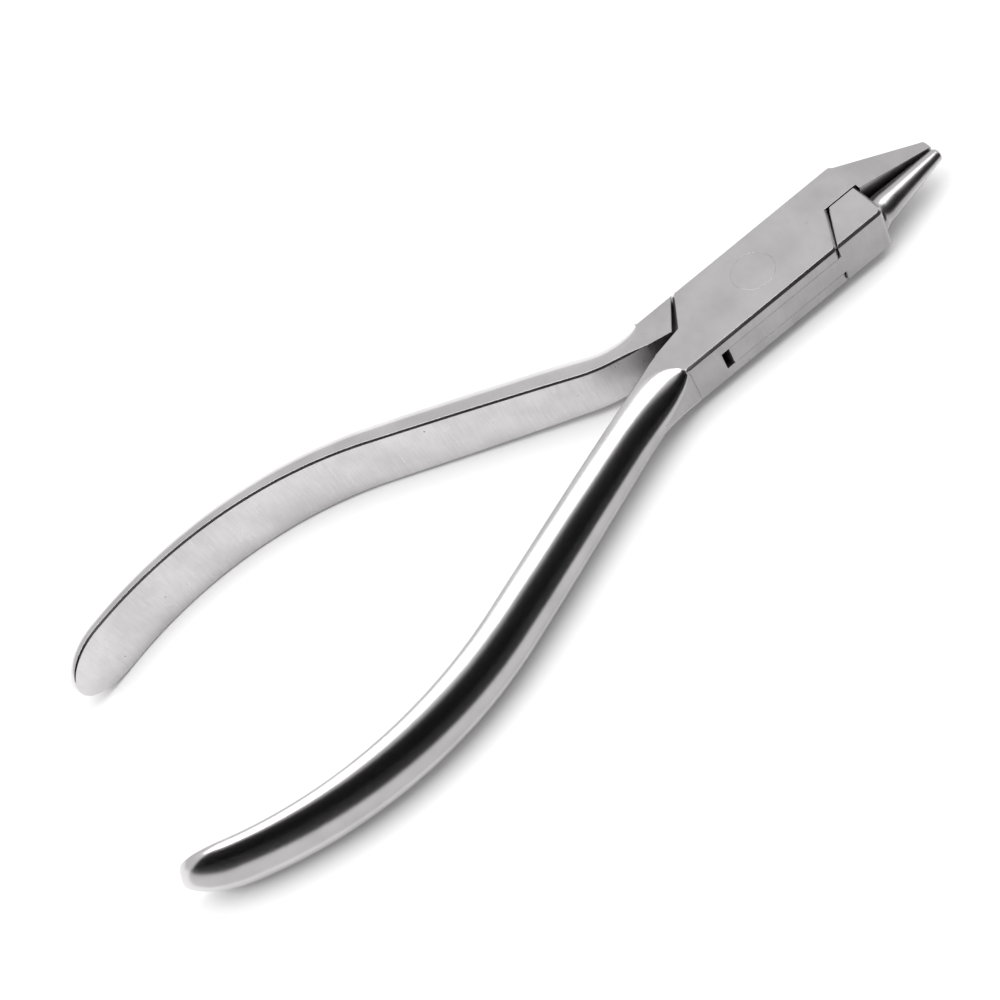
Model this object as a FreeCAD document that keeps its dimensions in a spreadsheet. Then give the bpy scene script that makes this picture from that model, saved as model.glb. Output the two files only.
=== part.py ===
import FreeCAD, Part
import math
import os
import Sketcher

# Box-joint forming pliers: two forged halves and the rivet that they turn on.
# The frame has its origin on the rivet's axis, in the plane of the joint's lower face. X runs along
# the joint towards the jaws, Y towards the far handle and Z along the rivet. Every piece is drawn
# about its mid-thickness plane and then raised. Lengths are millimetres, angles degrees.

SIZES = {
    # The box joint, a block with slanted ends that holds the tongue between two cheeks
    "box_width": 11.0,
    "box_height": 7.2,
    "tongue_height": 3.14,
    "slot_height": 3.2,
    "edge_chamfer": 0.35,
    "cheek_short": 9.2,         # from the rivet to a cheek's end, along its outer edge
    "cheek_long": 12.3,         # the same along the parting line
    "parting_offset": 0.35,     # the parting line lies this far from the rivet's axis
    "shoulder_gap": 0.2,        # between the front shoulder and the cheeks
    "rear_gap_outer": 0.15,     # the rear shoulder's gap is a wedge, closed at the outer edge
    "rear_gap_inner": 0.45,
    "edge_break": 0.12,         # on the shoulders' slanted edges
    "parting_gap": 0.2,
    "slot_radius": 11.5,
    "tongue_radius": 10.45,
    "front_end": 16.9,          # where the front shoulder ends and the jaws begin
    "front_corner": 1.0,
    # The rivet, with a countersunk head at each end
    "rivet_radius": 2.2,
    "head_radius": 2.9,
    "head_depth": 0.7,
    "rivet_clearance": 0.04,
    # The flat jaw, a tapered pyramid, and the conical jaw that closes on it
    "jaw_end": 28.2,
    "jaw_root": 4.7,
    "jaw_tip": 1.1,
    "jaw_face": -0.4,
    "jaw_tip_height": 1.3,
    "jaw_corner": 0.5,
    "jaw_gap": 0.06,
    "cone_start": 18.4,
    "cone_end": 28.5,
    "cone_base_radius": 2.05,
    "cone_tip_radius": 0.95,
    "flare_radius": 1.6,
    "flare_width": 0.35,
    # The handles, mirror images about an axis that is tilted from the joint
    "axis_tilt": 2.45,
    "axis_offset": -1.39,
    "bow_start": 52,            # along the axis, where a handle's straight run turns into its bow
    "near_bow_spread": 15.9,    # from the axis to each handle's inner face there
    "far_bow_spread": 16.3,
    "near_reach": 100.9,
    "far_reach": 101.6,
    "near_end_spread": 16.3,
    "far_end_spread": 15.9,
    "near_root_back": 16.4,     # the inner faces where the handles leave the joint
    "near_root_drop": 0.55,
    "far_root_back": 16.2,
    "far_root_rise": 1.55,
    "near_neck_back": 18,       # the corners where the inner faces turn outwards
    "near_neck_drop": 1.0,
    "far_neck_back": 23.4,
    "far_neck_rise": 3.2,
    "neck_radius": 20,
    "near_thickness": 4.6,
    "far_thickness": 5.0,
    "end_thickness": 3.1,
    "flare_height": 1.75,       # what each edge of a handle gains over the joint's half height
    "flare_length": 25,
    "end_rounding": 7.5,
}

ROOT_INSET = 0.02        # a handle starts this far inside the block that it grows from
ROOT_OVERLAP = 0.2       # and this far before the block's end
ARCH_LENGTH = 7          # over which the block's square section turns into a handle's D
ROOT_LENGTH = 12         # over which a handle takes its own thickness
SLIMMING_START = 30      # from where it thins towards its end
END_BLUNTNESS = 0.45     # the share of its thickness left where its rounded end closes
LAND_WIDTH = 0.45        # the flat strip beside a handle's inner edge
SIDE_FLAT = 0.15         # half height of what is left of the block's side along a handle
CIRCLE_HANDLE = 0.5523   # Bezier handle length that makes a quarter of a unit circle
ROOT_STRAIGHTNESS = 0.9  # the share of it that a handle's corners lose where they meet the chamfers

doc = FreeCAD.newDocument("pliers")
sheet = doc.addObject("Spreadsheet::Sheet", "Size")
for row, (alias, size) in enumerate(SIZES.items(), start=1):
    sheet.set(f"A{row}", alias)
    sheet.set(f"B{row}", str(size))
    sheet.setAlias(f"B{row}", alias)
doc.recompute()


def number(text):
    """The present value of an expression of the sheet's sizes."""
    return float(sheet.evalExpression(text))


def rounded(start, end, radius, turn):
    """The arc of that radius from start to end, turning left (1) or right (-1), drawn anticlockwise."""
    chord = end - start
    across = FreeCAD.Vector(-chord.y, chord.x, 0).normalize() * turn
    middle = (start + end) / 2
    rise = math.sqrt(radius ** 2 - (chord.Length / 2) ** 2)
    centre = middle + across * rise
    ends = [start, end][::turn]
    return Part.Arc(ends[0], centre - across * radius, ends[1])


def outline(body, name, corners, arcs=None, role="XY_Plane"):
    """A closed sketch through corners (x, y), with the edges that arcs names as (radius, turn)."""
    arcs = arcs or {}
    sketch = body.newObject("Sketcher::SketchObject", name)
    plane = next(item for item in body.Origin.OriginFeatures if item.Role == role)
    sketch.AttachmentSupport = [(plane, "")]
    sketch.MapMode = "FlatFace"
    spots = [FreeCAD.Vector(number(x), number(y), 0) for x, y in corners]
    first, last = [], []
    for index, start in enumerate(spots):
        end = spots[(index + 1) % len(spots)]
        radius, turn = arcs.get(index, (None, 1))
        edge = rounded(start, end, number(radius), turn) if radius else Part.LineSegment(start, end)
        sketch.addGeometry(edge)
        first.append(1 if turn > 0 else 2)
        last.append(2 if turn > 0 else 1)
        if radius:
            place = sketch.addConstraint(Sketcher.Constraint("Radius", index, number(radius)))
            sketch.setExpression(f"Constraints[{place}]", radius)
    for index, (x, y) in enumerate(corners):
        after = (index + 1) % len(corners)
        sketch.addConstraint(
            Sketcher.Constraint("Coincident", index, last[index], after, first[after])
        )
        for direction, text in (("DistanceX", x), ("DistanceY", y)):
            rule = Sketcher.Constraint(direction, -1, 1, index, first[index], number(text))
            sketch.setExpression(f"Constraints[{sketch.addConstraint(rule)}]", text)
    return sketch


def slab(body, name, corners, height, arcs=None, kind="Pad", role="XY_Plane"):
    """A pad or pocket of an outline, half its height to each side of the outline's plane."""
    feature = body.newObject(f"PartDesign::{kind}", name)
    feature.Profile = outline(body, name + "_outline", corners, arcs, role)
    feature.SideType = "Symmetric"
    feature.setExpression("Length", height)
    return feature


def turned(body, name, corners, kind, role, axis, arcs=None):
    """A revolution or groove of an outline about one of its sketch's own axes."""
    feature = body.newObject(f"PartDesign::{kind}", name)
    sketch = outline(body, name + "_outline", corners, arcs, role)
    feature.Profile = sketch
    feature.ReferenceAxis = (sketch, [axis])
    feature.Angle = 360
    return feature


def bevel(body, name, size, chosen):
    """A chamfer on the edges of the body's last feature that the rule picks."""
    doc.recompute()
    base = body.Tip
    picked = [f"Edge{i}" for i, edge in enumerate(base.Shape.Edges, start=1) if chosen(edge)]
    feature = body.newObject("PartDesign::Chamfer", name)
    feature.Base = (base, picked)
    feature.setExpression("Size", size)
    return feature


def on_top_or_bottom(edge):
    """Whether a straight edge lies in the joint's upper or lower face."""
    heights = [abs(abs(vertex.Z) - number("Size.box_height / 2")) for vertex in edge.Vertexes]
    return max(heights) < 1e-4 and edge.Curve.TypeId == "Part::GeomLine"


def rivet_outline(play):
    """Half of the rivet's lengthwise section, or of the hole around it."""
    half = "Size.box_height / 2"
    neck = f"{half} - Size.head_depth"
    shank = f"Size.rivet_radius + {play}"
    head = f"Size.head_radius + {play}"
    return [
        ("0", f"-({half})"),
        (head, f"-({half})"),
        (shank, f"-({neck})"),
        (shank, neck),
        (head, half),
        ("0", half),
    ]


def root_corner(name, rise):
    """How far back the joint's side ends, where a handle's first section meets it squarely."""
    back = f"Size.{name}_root_back"
    height = f"Size.{name}_root_{rise}"
    slope = f"(Size.{name}_neck_{rise} - {height}) / (Size.{name}_neck_back - {back})"
    return f"-({back} - (Size.box_width / 2 - {height}) * {slope})"


def make_cheeks():
    """The half with the slot: both cheeks, their webs and the flat jaw, without its handle."""
    body = doc.addObject("PartDesign::Body", "cheeks")
    side = "Size.box_width / 2"
    block = [
        ("-Size.cheek_long", "Size.parting_offset"),
        ("-Size.near_root_back", "-Size.near_root_drop"),
        (root_corner("near", "drop"), f"-{side}"),
        ("Size.cheek_short", f"-{side}"),
        ("Size.cheek_long", "Size.parting_offset"),
        ("Size.front_end + Size.parting_gap", "Size.parting_offset"),
        ("Size.front_end + Size.parting_gap", "Size.jaw_face"),
        ("Size.jaw_end", "Size.jaw_face"),
        ("Size.jaw_end", "Size.jaw_tip - Size.jaw_corner"),
        ("Size.jaw_end - Size.jaw_corner", "Size.jaw_tip"),
        ("Size.front_end", "Size.jaw_root"),
        ("Size.front_end - 2 * Size.edge_chamfer", side),
        ("-Size.cheek_short", side),
    ]
    slab(body, "block", block, "Size.box_height", {8: ("Size.jaw_corner", 1)})
    for name, up in (("upper", ""), ("lower", "-")):
        taper = [
            ("Size.front_end", f"{up}Size.box_height / 2"),
            ("Size.jaw_end", f"{up}Size.jaw_tip_height / 2"),
            ("Size.jaw_end + 1", f"{up}Size.jaw_tip_height / 2"),
            ("Size.jaw_end + 1", f"{up}Size.box_height"),
            ("Size.front_end", f"{up}Size.box_height"),
        ]
        slab(body, f"{name}_jaw_taper", taper, "Size.box_width * 3", kind="Pocket", role="XZ_Plane")
    bevel(body, "cheek_edges", "Size.edge_chamfer", is_cheek_edge)
    reach = "Size.cheek_long + 1"
    arc_x = "sqrt(Size.slot_radius ^ 2 - Size.parting_offset ^ 2)"
    slot = [
        (f"-{arc_x}", "Size.parting_offset"),
        (f"-sqrt(Size.slot_radius ^ 2 - (Size.box_width / 2 + 1) ^ 2)", f"-({side} + 1)"),
        (reach, f"-({side} + 1)"),
        (reach, "Size.parting_offset"),
        (arc_x, "Size.parting_offset"),
        (f"sqrt(Size.slot_radius ^ 2 - (Size.box_width / 2 + 1) ^ 2)", f"{side} + 1"),
        (f"-({reach})", f"{side} + 1"),
        (f"-({reach})", "Size.parting_offset"),
    ]
    arcs = {0: ("Size.slot_radius", 1), 4: ("Size.slot_radius", 1)}
    slab(body, "slot", slot, "Size.slot_height", arcs, kind="Pocket")
    turned(body, "rivet_hole", rivet_outline("0"), "Groove", "XZ_Plane", "V_Axis")
    return body


def is_cheek_edge(edge):
    """The long outer edges of the cheeks and their slanted ends, but not the jaw's edges."""
    if not on_top_or_bottom(edge):
        return False
    start, end = (vertex.Point for vertex in edge.Vertexes)
    side = number("Size.box_width / 2")
    along_side = all(abs(abs(point.y) - side) < 1e-4 for point in (start, end))
    slanted = abs(start.x) < number("Size.cheek_long") + 0.01 and abs(start.x - end.x) > 1
    slanted = slanted and abs(start.y - end.y) > number("Size.box_width") / 3
    return along_side or slanted


def make_tongue():
    """The half with the tongue: both shoulders, the tongue and the conical jaw, without its handle."""
    body = doc.addObject("PartDesign::Body", "tongue")
    side = "Size.box_width / 2"
    upper = "Size.parting_offset + Size.parting_gap"
    lower = "Size.parting_offset - Size.parting_gap"
    middle = [
        (f"-sqrt(Size.tongue_radius ^ 2 - ({upper}) ^ 2)", upper),
        ("-sqrt(Size.tongue_radius ^ 2 - (Size.box_width / 2) ^ 2)", f"-{side}"),
        ("Size.cheek_long + 1", f"-{side}"),
        ("Size.cheek_long + 1", lower),
        (f"sqrt(Size.tongue_radius ^ 2 - ({lower}) ^ 2)", lower),
        ("sqrt(Size.tongue_radius ^ 2 - (Size.box_width / 2) ^ 2)", side),
        ("-(Size.cheek_long + 1)", side),
        ("-(Size.cheek_long + 1)", upper),
    ]
    arcs = {0: ("Size.tongue_radius", 1), 4: ("Size.tongue_radius", 1)}
    slab(body, "tongue_plate", middle, "Size.tongue_height", arcs)
    front = [
        ("Size.cheek_short + Size.shoulder_gap", f"-{side}"),
        ("Size.front_end - Size.front_corner", f"-{side}"),
        ("Size.front_end", f"-({side}) + Size.front_corner"),
        ("Size.front_end", lower),
        ("Size.cheek_long + Size.shoulder_gap", lower),
    ]
    slab(body, "front_shoulder", front, "Size.box_height", {1: ("Size.front_corner", 1)})
    rear = [
        ("-(Size.cheek_short + Size.rear_gap_outer)", side),
        (root_corner("far", "rise"), side),
        ("-Size.far_root_back", "Size.far_root_rise"),
        ("-(Size.cheek_long + Size.rear_gap_inner)", "Size.parting_offset + 2 * Size.parting_gap"),
    ]
    slab(body, "rear_shoulder", rear, "Size.box_height")
    bevel(body, "shoulder_edges", "Size.edge_chamfer", is_shoulder_edge)
    bevel(body, "shoulder_breaks", "Size.edge_break", is_shoulder_slant)
    make_cone_jaw(body)
    play = "Size.rivet_clearance"
    bore = [
        ("0", "-Size.box_height"),
        (f"Size.rivet_radius + {play}", "-Size.box_height"),
        (f"Size.rivet_radius + {play}", "Size.box_height"),
        ("0", "Size.box_height"),
    ]
    turned(body, "rivet_bore", bore, "Groove", "XZ_Plane", "V_Axis")
    return body


def is_shoulder_edge(edge):
    """The shoulders' long outer edges."""
    side = number("Size.box_width / 2")
    return on_top_or_bottom(edge) and all(abs(abs(vertex.Y) - side) < 1e-4 for vertex in edge.Vertexes)


def is_shoulder_slant(edge):
    """The shoulders' edges along the slanted gaps."""
    if not on_top_or_bottom(edge):
        return False
    start, end = (vertex.Point for vertex in edge.Vertexes)
    return abs(start.x - end.x) > 1 and abs(start.y - end.y) > number("Size.box_width") / 3


def make_cone_jaw(body):
    """A cone with a hollow flare at its root, tilted until its side lies along the flat jaw."""
    length = "(Size.cone_end - Size.cone_start)"
    tilt = f"atan((Size.cone_base_radius - Size.cone_tip_radius) / {length})"
    inside = "-2"
    profile = [
        (inside, "0"),
        (length, "0"),
        (length, "Size.cone_tip_radius * 0.5"),
        (f"{length} - Size.cone_tip_radius * 0.5", "Size.cone_tip_radius"),
        ("0", "Size.cone_base_radius"),
        ("-Size.flare_radius * 0.95", "Size.cone_base_radius + Size.flare_width"),
        (inside, "Size.cone_base_radius + Size.flare_width"),
    ]
    arcs = {2: ("Size.cone_tip_radius * 0.6", 1), 4: ("Size.flare_radius * 1.7", -1)}
    cone = turned(body, "cone_jaw", profile, "Revolution", "XY_Plane", "H_Axis", arcs)
    sketch = cone.Profile[0]
    sketch.setExpression("AttachmentOffset.Base.x", "Size.cone_start")
    sketch.setExpression(
        "AttachmentOffset.Base.y", f"Size.jaw_face - Size.jaw_gap - Size.cone_base_radius / cos({tilt})"
    )
    sketch.setExpression("AttachmentOffset.Rotation.Angle", tilt)


def make_rivet():
    """The pivot, peened into both cheeks and ground flush with them."""
    body = doc.addObject("PartDesign::Body", "rivet")
    turned(body, "rivet_shape", rivet_outline("0"), "Revolution", "XZ_Plane", "V_Axis")
    return body


def tangent_arc(start, direction, end):
    """The arc that leaves start along direction and reaches end."""
    chord = end - start
    across = FreeCAD.Vector(-direction.y, direction.x, 0)
    radius = chord.Length ** 2 / (2 * chord.dot(across))
    centre = start + across * radius
    middle = centre + ((start + end) / 2 - centre).normalize() * abs(radius)
    return Part.Arc(start, middle, end).toShape()


def handle_path(far):
    """The inner face's line in plan, from inside the joint to the handle's end."""
    side = 1 if far else -1
    tilt = math.radians(number("Size.axis_tilt"))

    def from_axis(along, spread):
        x = -along * math.cos(tilt) + side * spread * math.sin(tilt)
        y = number("Size.axis_offset") + along * math.sin(tilt) + side * spread * math.cos(tilt)
        return FreeCAD.Vector(x, y, 0)

    name = "far" if far else "near"
    rise = "rise" if far else "drop"
    root = FreeCAD.Vector(
        -number(f"Size.{name}_root_back"), side * number(f"Size.{name}_root_{rise}"), 0
    )
    neck = FreeCAD.Vector(
        -number(f"Size.{name}_neck_back"), side * number(f"Size.{name}_neck_{rise}"), 0
    )
    bow = from_axis(number("Size.bow_start"), number(f"Size.{name}_bow_spread"))
    end = from_axis(number(f"Size.{name}_reach"), number(f"Size.{name}_end_spread"))
    leaving = (neck - root).normalize()
    running = (bow - neck).normalize()
    turn = leaving.getAngle(running)
    setback = number("Size.neck_radius") * math.tan(turn / 2)
    neck_start = neck - leaving * setback
    neck_end = neck + running * setback
    return [
        Part.LineSegment(root - leaving * ROOT_OVERLAP, neck_start).toShape(),
        tangent_arc(neck_start, leaving, neck_end),
        Part.LineSegment(neck_end, bow).toShape(),
        tangent_arc(bow, running, end),
    ]


def place_on(path, length):
    """The point at that length along the path, and the path's direction there."""
    for edge in path:
        if length <= edge.Length + 1e-6:
            break
        length -= edge.Length
    parameter = edge.getParameterByLength(min(length, edge.Length))
    return edge.valueAt(parameter), edge.tangentAt(parameter)


def ease(fraction):
    """0 to 1 with level ends."""
    fraction = min(max(fraction, 0), 1)
    return fraction * fraction * (3 - 2 * fraction)


def handle_section(path, length, total, far):
    """The closed section of a handle at that length: a D whose flat is the inner face."""
    spot, direction = place_on(path, length)
    across = FreeCAD.Vector(-direction.y, direction.x, 0) * (-1 if far else 1)
    up = FreeCAD.Vector(0, 0, 1)
    beyond = max(length - ROOT_OVERLAP, 0)
    flare = number("Size.flare_height") * (1 - math.exp(-beyond / number("Size.flare_length")))
    half = number("Size.box_height / 2") - ROOT_INSET + flare
    leaving = path[0].tangentAt(path[0].FirstParameter)
    inner_side = number("Size.far_root_rise" if far else "Size.near_root_drop")
    root_thickness = (number("Size.box_width / 2") - inner_side) / abs(leaving.x) - ROOT_INSET
    slimming = ease((beyond - SLIMMING_START) / (total - SLIMMING_START))
    full = number("Size.far_thickness" if far else "Size.near_thickness")
    full += (number("Size.end_thickness") - full) * slimming
    thickness = root_thickness + (full - root_thickness) * ease(beyond / ROOT_LENGTH)
    rounding = number("Size.end_rounding")
    past = max(length - (total - rounding), 0) / rounding
    shrink = math.sqrt(max(1 - past ** 2, 0))
    half *= shrink
    thickness *= END_BLUNTNESS + (1 - END_BLUNTNESS) * shrink
    bevel_size = number("Size.edge_chamfer") * shrink
    arch = max(1 - beyond / ARCH_LENGTH, 0)
    land = LAND_WIDTH * shrink
    land += (thickness - bevel_size - land) * arch ** 4
    flat = SIDE_FLAT * shrink + (half - bevel_size - SIDE_FLAT * shrink) * arch

    def at(out, height):
        return spot + across * out + up * height

    def corner(sign):
        pull = CIRCLE_HANDLE * (1 - ROOT_STRAIGHTNESS * arch ** 2)
        run, drop = thickness - land, half - flat
        poles = [
            at(land, sign * half),
            at(land + pull * run, sign * half),
            at(thickness, sign * (half - pull * drop)),
            at(thickness, sign * flat),
        ]
        curve = Part.BezierCurve()
        curve.setPoles(poles if sign > 0 else poles[::-1])
        return curve.toShape()

    inner = bevel_size * 0.6
    lines = [
        (at(0, -half + inner), at(0, half - inner)),
        (at(0, half - inner), at(inner, half)),
        (at(inner, half), at(land, half)),
        (at(thickness, flat), at(thickness, -flat)),
        (at(land, -half), at(inner, -half)),
        (at(inner, -half), at(0, -half + inner)),
    ]
    edges = [Part.LineSegment(*ends).toShape() for ends in lines]
    return Part.Wire(edges[:3] + [corner(1), edges[3], corner(-1)] + edges[4:])


def make_handle(far):
    """A handle as one smooth solid through its sections."""
    path = handle_path(far)
    total = sum(edge.Length for edge in path)
    rounding = number("Size.end_rounding")
    arch = [ROOT_OVERLAP + ARCH_LENGTH * step / 7 for step in range(8)]
    middle_start, middle_end = arch[-1] + 4, total - rounding
    middle = [middle_start + (middle_end - middle_start) * step / 9 for step in range(10)]
    tip = [middle_end + rounding * math.sin(math.pi / 2 * step / 6) for step in range(1, 6)]
    stations = [0] + arch + middle + tip + [total - 0.002 * rounding]
    sections = [handle_section(path, length, total, far) for length in stations]
    handle = doc.addObject("Part::Feature", "far_handle" if far else "near_handle")
    handle.Shape = Part.makeLoft(sections, True, False)
    handle.Placement = FreeCAD.Placement()
    return handle


def join(name, pieces):
    """One solid from the joint's block and its handle."""
    whole = doc.addObject("Part::MultiFuse", name)
    whole.Shapes = pieces
    whole.Refine = False
    return whole


def raise_to_frame(subpart, label):
    """Names a sub-part and lifts it until the joint's lower face is at zero height."""
    subpart.Label = label
    subpart.setExpression("Placement.Base.z", "Size.box_height / 2")
    return subpart


def check(subparts):
    """Stops on any object that failed, and on any sub-part that isn't one sound solid."""
    for item in doc.Objects:
        if "Invalid" in item.State or "Error" in item.State:
            raise RuntimeError(f"{item.Name} failed: {item.State}")
    for item in subparts:
        if item.Shape.isNull() or not item.Shape.isValid() or len(item.Shape.Solids) != 1:
            raise RuntimeError(f"{item.Label} is not one valid solid: {len(item.Shape.Solids)}")


box_forging = join("box_forging", [make_cheeks(), make_handle(far=False)])
tongue_forging = join("tongue_forging", [make_tongue(), make_handle(far=True)])
subparts = [
    raise_to_frame(box_forging, "box_half"),
    raise_to_frame(tongue_forging, "tongue_half"),
    raise_to_frame(make_rivet(), "pivot_rivet"),
]
doc.recompute()
check(subparts)
os.makedirs("parts", exist_ok=True)
for subpart in subparts:
    subpart.Shape.exportStep(f"parts/{subpart.Label}.step")
    print(subpart.Label, round(subpart.Shape.Volume, 1), "mm3", subpart.Shape.BoundBox)
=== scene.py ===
import math

import bmesh
import bpy
from mathutils import Matrix, Vector


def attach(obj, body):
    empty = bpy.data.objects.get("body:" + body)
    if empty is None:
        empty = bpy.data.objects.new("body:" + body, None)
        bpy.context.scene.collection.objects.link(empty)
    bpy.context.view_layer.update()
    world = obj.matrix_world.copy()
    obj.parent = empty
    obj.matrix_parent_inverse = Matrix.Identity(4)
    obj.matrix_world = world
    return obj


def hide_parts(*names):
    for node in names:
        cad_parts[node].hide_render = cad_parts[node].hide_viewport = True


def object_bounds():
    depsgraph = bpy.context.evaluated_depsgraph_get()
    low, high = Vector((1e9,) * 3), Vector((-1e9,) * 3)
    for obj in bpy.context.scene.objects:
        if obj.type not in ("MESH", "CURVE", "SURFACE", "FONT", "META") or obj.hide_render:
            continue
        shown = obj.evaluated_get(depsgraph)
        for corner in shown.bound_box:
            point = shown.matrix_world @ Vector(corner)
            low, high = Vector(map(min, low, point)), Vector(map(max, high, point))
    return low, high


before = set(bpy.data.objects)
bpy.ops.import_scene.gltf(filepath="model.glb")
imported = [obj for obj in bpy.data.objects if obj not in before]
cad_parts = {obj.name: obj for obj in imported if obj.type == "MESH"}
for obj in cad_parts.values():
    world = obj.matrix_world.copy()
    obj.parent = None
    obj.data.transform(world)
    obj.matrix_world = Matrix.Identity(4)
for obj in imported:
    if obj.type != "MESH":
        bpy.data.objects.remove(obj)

MM = 0.001
CAD_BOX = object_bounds()
CENTRE = (CAD_BOX[0] + CAD_BOX[1]) / 2
GROUND = CAD_BOX[0].z
LENGTH = CAD_BOX[1].x - CAD_BOX[0].x

# Where the camera stands, seen from the point on the tool that it aims at
AIM = Vector((-42.8, -0.7, 4.6)) * MM
VIEW_AZIMUTH = math.radians(-93.7)
VIEW_ELEVATION = math.radians(53.5)
VIEW_ROLL = math.radians(-36.35)
VIEW_DISTANCE = 244.6 * MM
LENS = 70.04

# The stage, with brightnesses as a mirror would show them
WORLD_BRIGHTNESS = 0.74
FLOOR_GREY = 0.93
OVERHEAD_SIZE = (8 * LENGTH, 2.8 * LENGTH)
OVERHEAD_ELEVATION = 88
OVERHEAD_DISTANCE = 4 * LENGTH
OVERHEAD_BRIGHTNESS = 2.3

# The dark cards that the rounded steel mirrors as a dark band, with angles in degrees
FLAG_DISTANCE = 5 * LENGTH
FLAG_LEFT = -172
FLAG_RIGHT = -8
FLAG_LOW = -2            # just under the floor
FLAG_SOFT = 44           # the flag is dark up to this elevation, and brightens to its top
FLAG_HIGH = 66
FLAG_COLUMNS = 24
FLAG_ROWS = 4
FLAG_GLOW = (0.004, 0.9)
MAT_GAP = 0.5            # from the tool's near side to the grey mat, in millimetres
MAT_WIDTH = 11.5
MAT_GREY = 0.6
CARD_WIDTH = 800         # the black card begins where the mat ends
CARD_GREY = 0.02
CARD_LIFT = 0.3
CARD_STEPS = 20          # along the near handle

# The steel's own tint, how much darker its cloudy patches are, and the colour of its pits and of the
# painted shade in its gaps
STEEL_TINT = (1.0, 0.975, 0.985)
CLOUD_SHADE = 0.86
PIT_AND_SHADE_COLOUR = (0.12, 0.11, 0.11, 1)
GROUND_STEEL, BRUSHED_STEEL, POLISHED_STEEL = range(3)

# The sizes of the steel's marks, in metres
CLOUD_SIZE = 6 * MM
FINE_CLOUD_SIZE = 1.4 * MM
LINE_SIZE = 0.22 * MM
LINE_STRETCH = (1, 0.06, 0.06)
GRAIN_SIZE = 0.09 * MM
PIT_SPACING = 0.9 * MM
GAP_DEPTH = 5 * MM       # painted shade darkens the steel where another face is closer than this
RELIEF_HEIGHT = 0.004 * MM
EDGE_RADIUS = 0.08 * MM

# The handles' sizes, in millimetres, as the design has them
BOX_HEIGHT = 7.2
BOX_SIDE = 5.5
CHAMFER = 0.35
AXIS_TILT = math.radians(2.45)
AXIS_OFFSET = -1.39
BOW_START = 52
NECK_RADIUS = 20
FLARE_HEIGHT = 1.75
FLARE_LENGTH = 25
END_THICKNESS = 3.1
END_ROUNDING = 7.5
END_BLUNTNESS = 0.45
ARCH_LENGTH = 7
ROOT_LENGTH = 12
SLIMMING_START = 30
LAND_WIDTH = 0.45
SIDE_FLAT = 0.15
CIRCLE_HANDLE = 0.5523
ROOT_STRAIGHTNESS = 0.9
NEAR = {
    "side": -1, "root": (16.4, 0.55), "neck": (18, 1.0), "bow_spread": 15.9,
    "end": (100.9, 16.3), "thickness": 4.6,
}
FAR = {
    "side": 1, "root": (16.2, 1.55), "neck": (23.4, 3.2), "bow_spread": 16.3,
    "end": (101.6, 15.9), "thickness": 5.0,
}

# Sizes of the smooth handles alone, in millimetres
ROOT_INSET = 0.002       # from the joint's outside to the start of a handle
INNER_SHARE_ROOT = 0.3   # the inner edges' chamfer as a share of CHAMFER, at the root
INNER_SHARE = 0.8        # and from INNER_LENGTH on
INNER_LENGTH = 3
SUPPORT = 0.05           # the strip beside each flat that takes up the change of direction
CORNER_STEPS = 14        # across each rounded corner
ARCH_STEPS = 36          # along the arch at the root
MIDDLE_STEPS = 150
END_STEPS = 24
WELD = 0.0005 * MM       # points of the CAD mesh closer than this, in metres, are one point
SHARP_ANGLE = math.radians(28)


def direction(azimuth, elevation):
    """The unit vector at an azimuth from +X and an elevation above the floor."""
    return Vector((
        math.cos(elevation) * math.cos(azimuth),
        math.cos(elevation) * math.sin(azimuth),
        math.sin(elevation),
    ))


def make_camera():
    """The camera at the view's azimuth, elevation and roll, aimed along the tool."""
    data = bpy.data.cameras.new("camera")
    data.lens = LENS
    data.clip_start = 10 * MM
    camera = bpy.data.objects.new("camera", data)
    bpy.context.scene.collection.objects.link(camera)
    place = Matrix.Translation(AIM + direction(VIEW_AZIMUTH, VIEW_ELEVATION) * VIEW_DISTANCE)
    turn = Matrix.Rotation(VIEW_AZIMUTH + math.pi / 2, 4, "Z")
    tilt = Matrix.Rotation(math.pi / 2 - VIEW_ELEVATION, 4, "X")
    roll = Matrix.Rotation(VIEW_ROLL, 4, "Z")
    camera.matrix_world = place @ turn @ tilt @ roll
    bpy.context.scene.camera = camera


def plain_material(name, grey):
    """A dull material for the floor and the cards of the stage."""
    material = bpy.data.materials.new(name)
    material.use_nodes = True
    shader = material.node_tree.nodes["Principled BSDF"]
    shader.inputs["Base Color"].default_value = (grey, grey, grey, 1)
    shader.inputs["Roughness"].default_value = 1
    shader.inputs["Specular IOR Level"].default_value = 0
    return material


def add_stage_mesh(name, points, faces, material):
    """A mesh of the stage, which isn't part of the tool."""
    mesh = bpy.data.meshes.new(name)
    mesh.from_pydata(points, [], faces)
    mesh.materials.append(material)
    piece = bpy.data.objects.new(name, mesh)
    bpy.context.scene.collection.objects.link(piece)
    return piece


def make_floor():
    """A plain pale floor under the handles."""
    half = 15 * LENGTH
    points = [(x * half, y * half, GROUND) for x, y in ((-1, -1), (1, -1), (1, 1), (-1, 1))]
    add_stage_mesh("floor", points, [(0, 1, 2, 3)], plain_material("floor_white", FLOOR_GREY))


def glow_material(name, low, high, low_glow, high_glow):
    """A card whose glow changes with its height, so that its upper edge is soft in a reflection."""
    material = bpy.data.materials.new(name)
    material.use_nodes = True
    nodes = Nodes(material)
    place = nodes.add("ShaderNodeTexCoord").outputs["Object"]
    height = nodes.add("ShaderNodeSeparateXYZ", {"Vector": place}).outputs["Z"]
    nodes.shader.inputs["Base Color"].default_value = (0, 0, 0, 1)
    nodes.shader.inputs["Specular IOR Level"].default_value = 0
    nodes.shader.inputs["Emission Color"].default_value = (1, 1, 1, 1)
    nodes.link(nodes.ramp(height, low, high, low_glow, high_glow), "Emission Strength")
    return material


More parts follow.
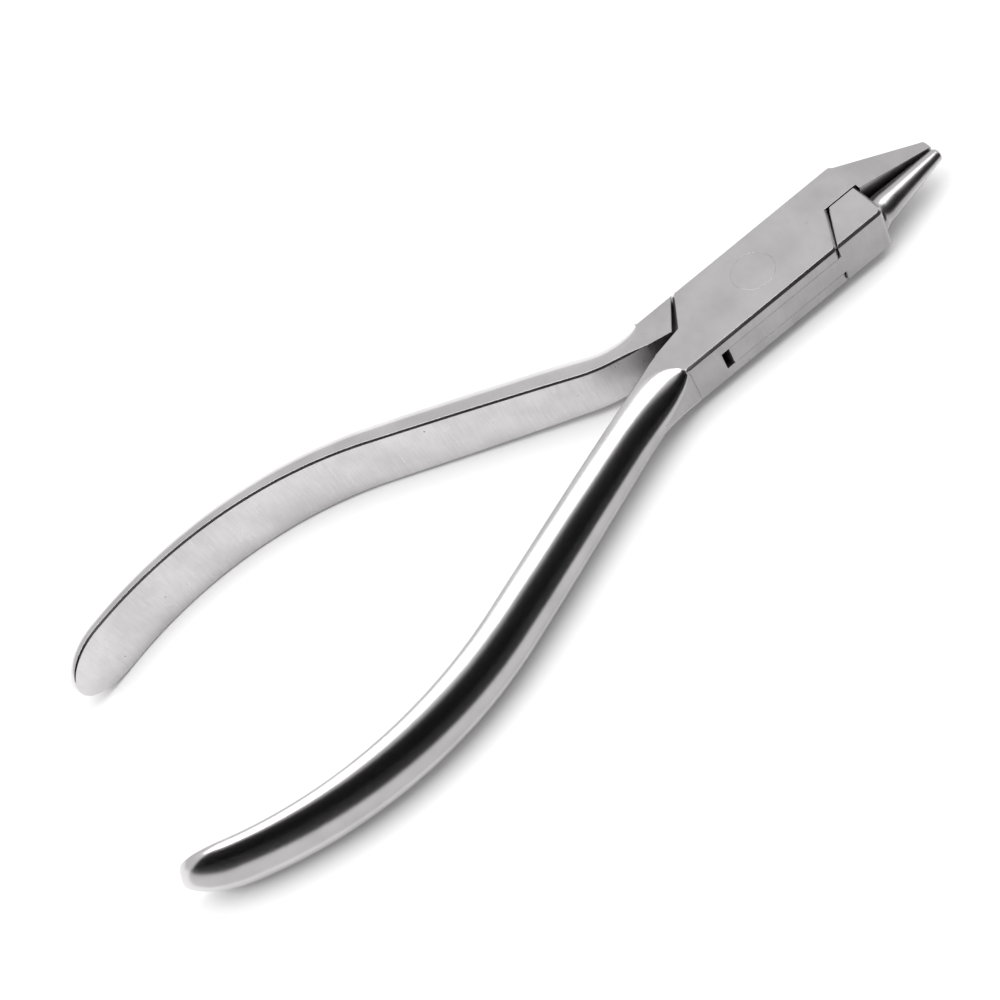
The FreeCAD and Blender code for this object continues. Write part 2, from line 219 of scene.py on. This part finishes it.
def make_flag():
    """A curved dark card in front, which the rounded steel mirrors as a dark band."""
    width, height = FLAG_RIGHT - FLAG_LEFT, FLAG_HIGH - FLAG_LOW
    azimuths = [math.radians(FLAG_LEFT + width * step / FLAG_COLUMNS) for step in range(FLAG_COLUMNS + 1)]
    elevations = [math.radians(FLAG_LOW + height * step / FLAG_ROWS) for step in range(FLAG_ROWS + 1)]
    points = [CENTRE + direction(a, e) * FLAG_DISTANCE for e in elevations for a in azimuths]
    count = len(azimuths)
    faces = [
        (i + row * count, i + 1 + row * count, i + 1 + (row + 1) * count, i + (row + 1) * count)
        for row in range(FLAG_ROWS) for i in range(FLAG_COLUMNS)
    ]
    soft = [FLAG_DISTANCE * math.sin(math.radians(angle)) for angle in (FLAG_SOFT, FLAG_HIGH)]
    material = glow_material("flag_dark", *soft, *FLAG_GLOW)
    flag = add_stage_mesh("front_flag", points, faces, material)
    flag.visible_camera = False
    flag.visible_diffuse = False
    flag.visible_shadow = False


def make_card(name, gap, width, grey):
    """A card on the floor along the near side of the tool, seen only in the steel's reflections."""
    path = handle_path(NEAR)
    total = sum(stretch["length"] for stretch in path)
    inner = [Vector((x, -BOX_SIDE - gap)) for x in (CARD_WIDTH, -BOX_SIDE)]
    for step in range(1, CARD_STEPS + 1):
        spot, heading = place_on(path, total * step / CARD_STEPS)
        inner.append(spot + left_of(heading) * (NEAR["thickness"] + gap))
    inner.append(inner[-1] - Vector((CARD_WIDTH, 0)))
    level = GROUND + CARD_LIFT * MM
    points = [Vector((spot.x * MM, spot.y * MM, level)) for spot in inner]
    points += [point - Vector((0, width * MM, 0)) for point in points]
    count = len(inner)
    faces = [(i, i + 1, i + 1 + count, i + count) for i in range(count - 1)]
    card = add_stage_mesh(name, points, faces, plain_material(name + "_grey", grey))
    card.visible_camera = False
    card.visible_diffuse = False
    card.visible_shadow = False


def make_light(name, azimuth, elevation, size, brightness):
    """A soft box that faces the tool, with the brightness that a mirror would show."""
    data = bpy.data.lights.new(name, "AREA")
    data.shape = "RECTANGLE"
    data.size, data.size_y = size
    data.energy = brightness * size[0] * size[1] * math.pi
    light = bpy.data.objects.new(name, data)
    bpy.context.scene.collection.objects.link(light)
    towards = direction(math.radians(azimuth), math.radians(elevation))
    facing = towards.to_track_quat("Z", "Y").to_matrix().to_4x4()
    light.matrix_world = Matrix.Translation(CENTRE + towards * OVERHEAD_DISTANCE) @ facing


def make_world(brightness):
    """An even, pale surrounding."""
    world = bpy.data.worlds.new("studio")
    world.use_nodes = True
    background = world.node_tree.nodes["Background"]
    background.inputs["Color"].default_value = (1, 1, 1, 1)
    background.inputs["Strength"].default_value = brightness
    bpy.context.scene.world = world


def make_stage():
    """Floor, dark cards, overhead soft box and pale surroundings."""
    bpy.context.scene.view_settings.view_transform = "Standard"
    make_world(WORLD_BRIGHTNESS)
    make_floor()
    make_flag()
    make_card("near_mat", MAT_GAP, MAT_WIDTH, MAT_GREY)
    make_card("low_card", MAT_GAP + MAT_WIDTH, CARD_WIDTH, CARD_GREY)
    make_light("overhead", -90, OVERHEAD_ELEVATION, OVERHEAD_SIZE, OVERHEAD_BRIGHTNESS)


class Nodes:
    """Adds nodes to a material and links their sockets."""

    def __init__(self, material):
        self.tree = material.node_tree
        self.shader = self.tree.nodes["Principled BSDF"]

    def add(self, kind, inputs=None, **settings):
        node = self.tree.nodes.new(kind)
        for name, setting in settings.items():
            setattr(node, name, setting)
        for name, source in (inputs or {}).items():
            if isinstance(source, bpy.types.NodeSocket):
                self.tree.links.new(source, node.inputs[name])
            else:
                node.inputs[name].default_value = source
        return node

    def link(self, source, name):
        self.tree.links.new(source, self.shader.inputs[name])

    def noise(self, place, stretch, grain, detail):
        """Noise with grains of that size, drawn out by stretch along each axis."""
        mapping = self.add("ShaderNodeMapping", {"Vector": place, "Scale": stretch})
        inputs = {"Vector": mapping.outputs["Vector"], "Scale": 1 / grain, "Detail": detail}
        return self.add("ShaderNodeTexNoise", inputs).outputs["Fac"]

    def ramp(self, value, low, high, out_low=0.0, out_high=1.0):
        """The value mapped from low..high to out_low..out_high, and clamped there."""
        inputs = {"Value": value, "From Min": low, "From Max": high, "To Min": out_low, "To Max": out_high}
        return self.add("ShaderNodeMapRange", inputs).outputs["Result"]

    def math(self, operation, first, second):
        return self.add("ShaderNodeMath", {0: first, 1: second}, operation=operation).outputs["Value"]


def run(start, heading, length, curvature=0.0):
    """A stretch of a path: where it starts, its heading, its length and how it turns."""
    return {"start": start, "heading": heading, "length": length, "curvature": curvature}


def left_of(heading):
    """The unit vector to the left of a heading."""
    return Vector((-math.sin(heading), math.cos(heading)))


def travel(stretch, length):
    """The point and heading at that length along a stretch."""
    heading = stretch["heading"] + stretch["curvature"] * length
    if stretch["curvature"]:
        radius = 1 / stretch["curvature"]
        centre = stretch["start"] + radius * left_of(stretch["heading"])
        return centre - radius * left_of(heading), heading
    return stretch["start"] + length * Vector((math.cos(heading), math.sin(heading))), heading


def angle_of(vector):
    """The heading of a vector, from 0 to a full turn."""
    return math.atan2(vector.y, vector.x) % math.tau


def handle_path(handle):
    """The inner face's line in plan: straight, neck, straight and bow, each leading into the next."""
    side = handle["side"]

    def from_axis(along, spread):
        across = side * spread
        x = -along * math.cos(AXIS_TILT) + across * math.sin(AXIS_TILT)
        return Vector((x, AXIS_OFFSET + along * math.sin(AXIS_TILT) + across * math.cos(AXIS_TILT)))

    root, neck = (Vector((-back, side * rise)) for back, rise in (handle["root"], handle["neck"]))
    bow = from_axis(BOW_START, handle["bow_spread"])
    end = from_axis(*handle["end"])
    leaving, running = angle_of(neck - root), angle_of(bow - neck)
    turn = running - leaving
    setback = NECK_RADIUS * math.tan(abs(turn) / 2)
    first = run(root, leaving, (neck - root).length - setback)
    bend_start = travel(first, first["length"])[0]
    bend = run(bend_start, leaving, NECK_RADIUS * abs(turn), turn / abs(turn) / NECK_RADIUS)
    neck_end = travel(bend, bend["length"])[0]
    straight = run(neck_end, running, (bow - neck_end).length)
    chord = end - bow
    swing = angle_of(chord) - running
    curvature = 2 * math.sin(swing) / chord.length
    return [first, bend, straight, run(bow, running, 2 * swing / curvature, curvature)]


def place_on(path, length):
    """The point and heading at that length along a path."""
    for stretch in path[:-1]:
        if length <= stretch["length"]:
            return travel(stretch, length)
        length -= stretch["length"]
    return travel(path[-1], length)


def ease(fraction):
    """0 to 1 with level ends."""
    fraction = min(max(fraction, 0), 1)
    return fraction * fraction * (3 - 2 * fraction)


def bezier(ends, pulls, fraction):
    """A point on the cubic curve between two ends with the pulls between them."""
    left = 1 - fraction
    weights = (left ** 3, 3 * left ** 2 * fraction, 3 * left * fraction ** 2, fraction ** 3)
    points = (ends[0], pulls[0], pulls[1], ends[1])
    return tuple(sum(weight * point[axis] for weight, point in zip(weights, points)) for axis in (0, 1))


def half_section(handle, length, total, is_upper):
    """Half of a handle's section as (out, height), from its inner face to its side."""
    half = BOX_HEIGHT / 2 - ROOT_INSET + FLARE_HEIGHT * (1 - math.exp(-length / FLARE_LENGTH))
    leaving = handle_path(handle)[0]["heading"]
    root_thickness = (BOX_SIDE - handle["root"][1]) / abs(math.cos(leaving)) - ROOT_INSET
    slimming = ease((length - SLIMMING_START) / (total - SLIMMING_START))
    full = handle["thickness"] + (END_THICKNESS - handle["thickness"]) * slimming
    thickness = root_thickness + (full - root_thickness) * ease(length / ROOT_LENGTH)
    past = min(max(length - (total - END_ROUNDING), 0) / END_ROUNDING, 1)
    shrink = math.sqrt(1 - past ** 2)
    half *= shrink
    thickness *= END_BLUNTNESS + (1 - END_BLUNTNESS) * shrink
    chamfer = CHAMFER * shrink
    arch = max(1 - length / ARCH_LENGTH, 0)
    land = LAND_WIDTH * shrink
    closing = 1 - math.sqrt(1 - arch ** 2)
    land += (thickness - chamfer - land) * closing
    flat = SIDE_FLAT * shrink
    flat += (half - chamfer - flat) * (closing if is_upper else arch)
    pull = CIRCLE_HANDLE * (1 - ROOT_STRAIGHTNESS * arch ** 2)
    run_out, drop = thickness - land, half - flat
    ends = ((land, half), (thickness, flat))
    pulls = ((land + pull * run_out, half), (thickness, half - pull * drop))
    inner = chamfer * (INNER_SHARE_ROOT + (INNER_SHARE - INNER_SHARE_ROOT) * ease(length / INNER_LENGTH))
    support = SUPPORT * shrink
    corner = [bezier(ends, pulls, step / CORNER_STEPS) for step in range(CORNER_STEPS + 1)]
    top = [(0, half - inner), (inner, half), (land - support, half)]
    return top + corner + [(thickness, flat - support)]


def handle_mesh(handle):
    """A handle's points and faces, open where it meets the joint, and the number of points in a ring."""
    path = handle_path(handle)
    total = sum(stretch["length"] for stretch in path)
    middle_end = total - END_ROUNDING
    middle_length = middle_end - ARCH_LENGTH
    stations = [ARCH_LENGTH * (step / ARCH_STEPS) ** 2 for step in range(ARCH_STEPS)]
    stations += [ARCH_LENGTH + middle_length * step / MIDDLE_STEPS for step in range(MIDDLE_STEPS)]
    end_angles = [math.pi / 2 * step / END_STEPS for step in range(END_STEPS)]
    stations += [middle_end + END_ROUNDING * math.sin(angle) for angle in end_angles]
    points, faces = [], []
    for length in stations:
        spot, heading = place_on(path, length)
        out = left_of(heading) * -handle["side"]
        lower = half_section(handle, length, total, False)
        ring = half_section(handle, length, total, True)
        ring += [(reach, -height) for reach, height in reversed(lower)]
        for reach, height in ring:
            plan = spot + out * reach
            points.append(Vector((plan.x, plan.y, BOX_HEIGHT / 2 + height)) * MM)
    size = len(points) // len(stations)
    for row in range(len(stations) - 1):
        here, beyond = row * size, (row + 1) * size
        for step in range(size):
            after = (step + 1) % size
            faces.append([here + step, here + after, beyond + after, beyond + step])
    faces.append([len(points) - size + step for step in range(size)])
    return points, faces, size


def add_joint_block(mesh, node, handle):
    """Copies a half's joint and jaw into the mesh, up to where its handle leaves."""
    mesh.from_mesh(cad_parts[node].data)
    bmesh.ops.remove_doubles(mesh, verts=mesh.verts, dist=WELD)
    stretch = handle_path(handle)[0]
    leaving = Vector((math.cos(stretch["heading"]), math.sin(stretch["heading"])))

    def beyond(face):
        centre = face.calc_center_median()
        return (Vector((centre.x, centre.y)) - stretch["start"] * MM).dot(leaving) > -WELD

    bmesh.ops.delete(mesh, geom=[face for face in mesh.faces if beyond(face)], context="FACES")
    for face in mesh.faces:
        face.material_index = GROUND_STEEL


def add_handle(mesh, handle):
    """Adds a handle whose inner face is brushed and whose outside is polished."""
    points, faces, size = handle_mesh(handle)
    corners = [mesh.verts.new(point) for point in points]
    for order, face in enumerate(faces):
        added = mesh.faces.new([corners[index] for index in face])
        row, place = divmod(order, size)
        is_land = place in (1, 2, size - 4, size - 3)
        is_side_flat = abs(place - (size // 2 - 1)) <= 1 and row < ARCH_STEPS
        if place == size - 1:
            added.material_index = BRUSHED_STEEL
        elif is_land or is_side_flat:
            added.material_index = GROUND_STEEL
        else:
            added.material_index = POLISHED_STEEL


def make_half(name, node, body, handle, materials):
    """One half of the tool: its joint and jaw with a smooth handle, in place of the node."""
    mesh = bmesh.new()
    add_joint_block(mesh, node, handle)
    add_handle(mesh, handle)
    bmesh.ops.bridge_loops(mesh, edges=[edge for edge in mesh.edges if edge.is_boundary])
    bmesh.ops.recalc_face_normals(mesh, faces=mesh.faces)
    data = bpy.data.meshes.new(name)
    mesh.to_mesh(data)
    mesh.free()
    for stale in ("custom_normal", "sharp_edge", "sharp_face"):
        if stale in data.attributes:
            data.attributes.remove(data.attributes[stale])
    data.shade_smooth()
    data.set_sharp_from_angle(angle=SHARP_ANGLE)
    for material in materials:
        data.materials.append(material)
    half = bpy.data.objects.new(name, data)
    bpy.context.scene.collection.objects.link(half)
    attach(half, body)
    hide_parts(node)


def make_steel(name, tone, roughness, lines=1.0, pitting=1.0):
    """Steel of that tone, with cloudy patches, lines across X, a fine grain, a few pits, and painted shade
    darkening its gaps.
    """
    material = bpy.data.materials.new(name)
    material.use_nodes = True
    nodes = Nodes(material)
    place = nodes.add("ShaderNodeTexCoord").outputs["Object"]
    clouds = nodes.noise(place, (1, 1, 1), CLOUD_SIZE, 3)
    fine_clouds = nodes.noise(place, (1, 1, 1), FINE_CLOUD_SIZE, 4)
    cross_lines = nodes.noise(place, LINE_STRETCH, LINE_SIZE, 3)
    grain = nodes.noise(place, (1, 1, 1), GRAIN_SIZE, 2)
    pits = nodes.ramp(nodes.noise(place, (1, 1, 1), PIT_SPACING, 1), 0.79, 0.83, 0.0, pitting)

    streaks = nodes.ramp(cross_lines, 0.3, 0.7, -0.15 * lines, 0.15 * lines)
    shading = nodes.math("ADD", nodes.ramp(clouds, 0.35, 0.68), streaks)
    colour = nodes.add("ShaderNodeMix", {"Factor": shading}, data_type="RGBA")
    colour.inputs["A"].default_value = (*[tone * part for part in STEEL_TINT], 1)
    colour.inputs["B"].default_value = (*[tone * CLOUD_SHADE * part for part in STEEL_TINT], 1)
    # Ambient occlusion darkens the colour where other faces are near: painted shade in gaps and creases,
    # added to the real pits
    openness = nodes.add("ShaderNodeAmbientOcclusion", {"Distance": GAP_DEPTH}, samples=4).outputs["AO"]
    pits_and_painted_shade = nodes.math("ADD", nodes.math("MULTIPLY", pits, 0.9), nodes.ramp(openness, 0.1, 0.6, 0.9, 0.0))
    pitted_and_shaded = nodes.add("ShaderNodeMix", {"Factor": pits_and_painted_shade}, data_type="RGBA")
    nodes.tree.links.new(colour.outputs["Result"], pitted_and_shaded.inputs["A"])
    pitted_and_shaded.inputs["B"].default_value = PIT_AND_SHADE_COLOUR
    nodes.link(pitted_and_shaded.outputs["Result"], "Base Color")

    unevenness = 0.02 * lines
    varied = nodes.math("ADD", roughness, nodes.ramp(fine_clouds, 0.3, 0.7, -unevenness, unevenness))
    varied = nodes.math("ADD", varied, nodes.ramp(cross_lines, 0.3, 0.7, -unevenness, unevenness))
    nodes.link(varied, "Roughness")

    relief = nodes.math("ADD", nodes.math("MULTIPLY", cross_lines, lines), grain)
    relief = nodes.math("SUBTRACT", relief, nodes.math("MULTIPLY", pits, 3.0))
    rounding = nodes.add("ShaderNodeBevel", {"Radius": EDGE_RADIUS}, samples=4)
    bump = nodes.add("ShaderNodeBump", {
        "Height": relief, "Strength": 0.35, "Distance": RELIEF_HEIGHT, "Normal": rounding.outputs["Normal"],
    })
    nodes.link(bump.outputs["Normal"], "Normal")
    nodes.shader.inputs["Metallic"].default_value = 1
    return material


make_camera()
make_stage()
STEELS = [
    make_steel("ground_steel", 0.6, 0.3),
    make_steel("brushed_steel", 0.65, 0.32, lines=2.0),
    make_steel("polished_steel", 0.7, 0.22, lines=0.15, pitting=0.0),
]
make_half("box_forging", "box_half", "box_body", NEAR, STEELS)
make_half("tongue_forging", "tongue_half", "tongue_body", FAR, STEELS)
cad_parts["pivot_rivet"].material_slots[0].material = make_steel("rivet_steel", 0.6, 0.3)
